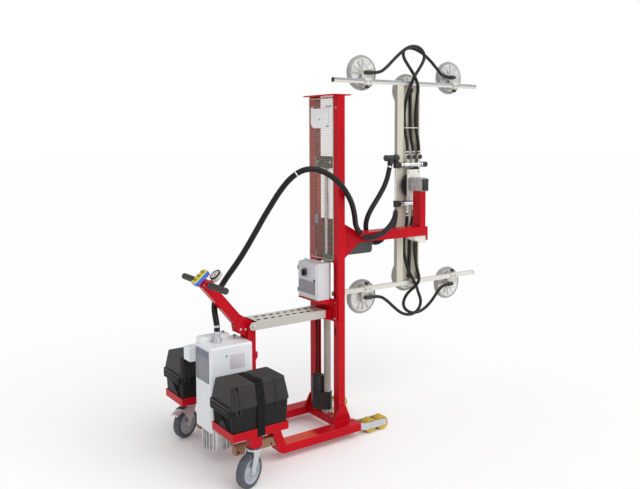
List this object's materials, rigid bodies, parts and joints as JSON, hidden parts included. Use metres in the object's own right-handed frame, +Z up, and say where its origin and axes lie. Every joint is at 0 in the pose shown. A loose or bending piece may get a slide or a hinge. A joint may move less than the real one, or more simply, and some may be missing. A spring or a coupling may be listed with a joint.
{
  "type": "panel tilting trolley",
  "caption": "Battery-powered walk-behind trolley with a lifting mast, a boom that tilts and turns a vacuum suction-cup frame, and a pump and battery boxes over its castors.",
  "frame": {"origin": "on the floor, under the middle of the trolley's bounding box without its hoses", "axes": "+X forward from the handle to the suction head, +Y to the operator's left, +Z up"},
  "size_m": [2.396, 0.8948, 2.4561],
  "materials": {
    "red_paint": "gloss paint",
    "cream_paint": "satin paint",
    "brown_paint": "matt paint",
    "grey_mesh": "satin",
    "grey_steel": "satin",
    "dark_steel": "satin",
    "zinc_steel": "zinc plated",
    "aluminium": "cast",
    "dark_aluminium": "painted",
    "chrome": "polished",
    "grey_plastic": "matt",
    "white_plastic": "matt",
    "yellow_plastic": "matt",
    "black_plastic": "matt",
    "black_rubber": "matt",
    "grey_rubber": "matt",
    "black_fabric": "woven",
    "grey_tyre": "smooth rubber",
    "yellow_tyre": "cast polyurethane"
  },
  "bodies": {
    "chassis": {"chassis_frame": "red_paint", "battery_trays": "red_paint", "rear_post": "red_paint", "mast_columns": "red_paint", "mast_top_plate": "red_paint", "mast_brackets": "red_paint", "mesh_guard": "grey_mesh", "control_box": "grey_plastic", "actuator_tube": "grey_steel", "actuator_motor": "black_plastic", "actuator_lead": "black_rubber", "perforated_beam": "cream_paint", "handle_arm": "red_paint", "handle_grips": "black_rubber", "pendant_case": "yellow_plastic", "vacuum_gauge": "grey_plastic", "pump_cabinet": "white_plastic", "pump_motor": "aluminium", "battery_boxes": "black_plastic", "battery_lids": "black_plastic", "battery_straps": "black_fabric", "ballast_bars": "brown_paint", "roller_brackets": "zinc_steel", "main_hose_lift": "black_rubber"},
    "carriage": {"carriage_frame": "red_paint", "crosshead": "dark_steel", "guide_pads": "white_plastic", "actuator_rod": "chrome", "tilt_motor": "black_plastic", "main_hose_tilt": "black_rubber"},
    "boom": {"boom_arm": "red_paint", "rotation_gearbox": "dark_aluminium", "arm_bracket": "cream_paint", "main_hose_turn": "black_rubber"},
    "head": {"main_beam": "cream_paint", "crossbars": "zinc_steel", "cup_mounts": "zinc_steel", "cup_plates": "aluminium", "cup_seals": "grey_rubber", "clamp_knobs": "black_plastic", "swivel_disc": "dark_steel", "manifolds": "chrome", "vacuum_pipework": "black_plastic", "cup_hose_top_left": "black_rubber", "cup_hose_top_right": "black_rubber", "cup_hose_low_left": "black_rubber", "cup_hose_low_right": "black_rubber"},
    "castor_left": {"castor_fork_left": "zinc_steel"},
    "castor_right": {"castor_fork_right": "zinc_steel"},
    "wheel_left": {"castor_wheel_left": "grey_tyre"},
    "wheel_right": {"castor_wheel_right": "grey_tyre"},
    "brake": {"brake_pedal": "zinc_steel"},
    "switch": {"switch_knob": "black_plastic"},
    "lift_key_body": {"lift_key": "black_plastic"},
    "tilt_key_body": {"tilt_key": "black_plastic"},
    "turn_key_body": {"turn_key": "black_plastic"},
    "load_roller_left_rear_body": {"load_roller_left_rear": "yellow_tyre"},
    "load_roller_left_front_body": {"load_roller_left_front": "yellow_tyre"},
    "load_roller_right_rear_body": {"load_roller_right_rear": "yellow_tyre"},
    "load_roller_right_front_body": {"load_roller_right_front": "yellow_tyre"}
  },
  "joints": [
    {"name": "lift", "type": "slide", "parent": "chassis", "child": "carriage", "axis": [0, 0, 1], "range_m": [-0.5, 0.34], "deforming": ["main_hose_lift"]},
    {"name": "tilt", "type": "hinge", "parent": "carriage", "child": "boom", "pos_m": [0.08, 0.04575, 1.18], "axis": [1, 0, 0], "range_deg": [-90, 0], "deforming": ["main_hose_tilt"]},
    {"name": "turn", "type": "hinge", "parent": "boom", "child": "head", "pos_m": [0.524, 0.13625, 1.487], "axis": [0, 1, 0], "range_deg": [0, 90], "deforming": ["main_hose_turn"]},
    {"name": "castor_left_swivel", "type": "hinge", "parent": "chassis", "child": "castor_left", "pos_m": [-1.036, 0.40775, 0.2047], "axis": [0, 0, 1], "continuous": true},
    {"name": "castor_left_spin", "type": "hinge", "parent": "castor_left", "child": "wheel_left", "pos_m": [-1.07742, 0.39017, 0.09], "axis": [-0.3907, 0.9205, 0], "continuous": true},
    {"name": "castor_right_swivel", "type": "hinge", "parent": "chassis", "child": "castor_right", "pos_m": [-1.036, -0.37625, 0.2047], "axis": [0, 0, 1], "continuous": true},
    {"name": "castor_right_spin", "type": "hinge", "parent": "castor_right", "child": "wheel_right", "pos_m": [-1.07742, -0.39383, 0.09], "axis": [-0.3907, 0.9205, 0], "continuous": true},
    {"name": "brake_press", "type": "hinge", "parent": "castor_left", "child": "brake", "pos_m": [-1.117, 0.37337, 0.178], "axis": [0.3907, -0.9205, 0], "range_deg": [0, 15]},
    {"name": "load_roller_left_rear_spin", "type": "hinge", "parent": "chassis", "child": "load_roller_left_rear_body", "pos_m": [-0.121, 0.22575, 0.042], "axis": [0, 1, 0], "continuous": true},
    {"name": "load_roller_left_front_spin", "type": "hinge", "parent": "chassis", "child": "load_roller_left_front_body", "pos_m": [-0.029, 0.22575, 0.042], "axis": [0, 1, 0], "continuous": true},
    {"name": "load_roller_right_rear_spin", "type": "hinge", "parent": "chassis", "child": "load_roller_right_rear_body", "pos_m": [-0.121, -0.19425, 0.042], "axis": [0, 1, 0], "continuous": true},
    {"name": "load_roller_right_front_spin", "type": "hinge", "parent": "chassis", "child": "load_roller_right_front_body", "pos_m": [-0.029, -0.19425, 0.042], "axis": [0, 1, 0], "continuous": true},
    {"name": "switch_turn", "type": "hinge", "parent": "chassis", "child": "switch", "pos_m": [-0.433, 0.03575, 0.998], "axis": [-1, 0, 0], "range_deg": [0, 90]},
    {"name": "lift_key_rock", "type": "hinge", "parent": "chassis", "child": "lift_key_body", "pos_m": [-1.16577, 0.02375, 1.03361], "axis": [0.766, 0, 0.6428], "range_deg": [-8, 8], "stiffness_Nm_per_rad": 0.3},
    {"name": "tilt_key_rock", "type": "hinge", "parent": "chassis", "child": "tilt_key_body", "pos_m": [-1.14278, 0.02375, 1.05289], "axis": [0.766, 0, 0.6428], "range_deg": [-8, 8], "stiffness_Nm_per_rad": 0.3},
    {"name": "turn_key_rock", "type": "hinge", "parent": "chassis", "child": "turn_key_body", "pos_m": [-1.1198, 0.02375, 1.07218], "axis": [0.766, 0, 0.6428], "range_deg": [-8, 8], "stiffness_Nm_per_rad": 0.3}
  ]
}
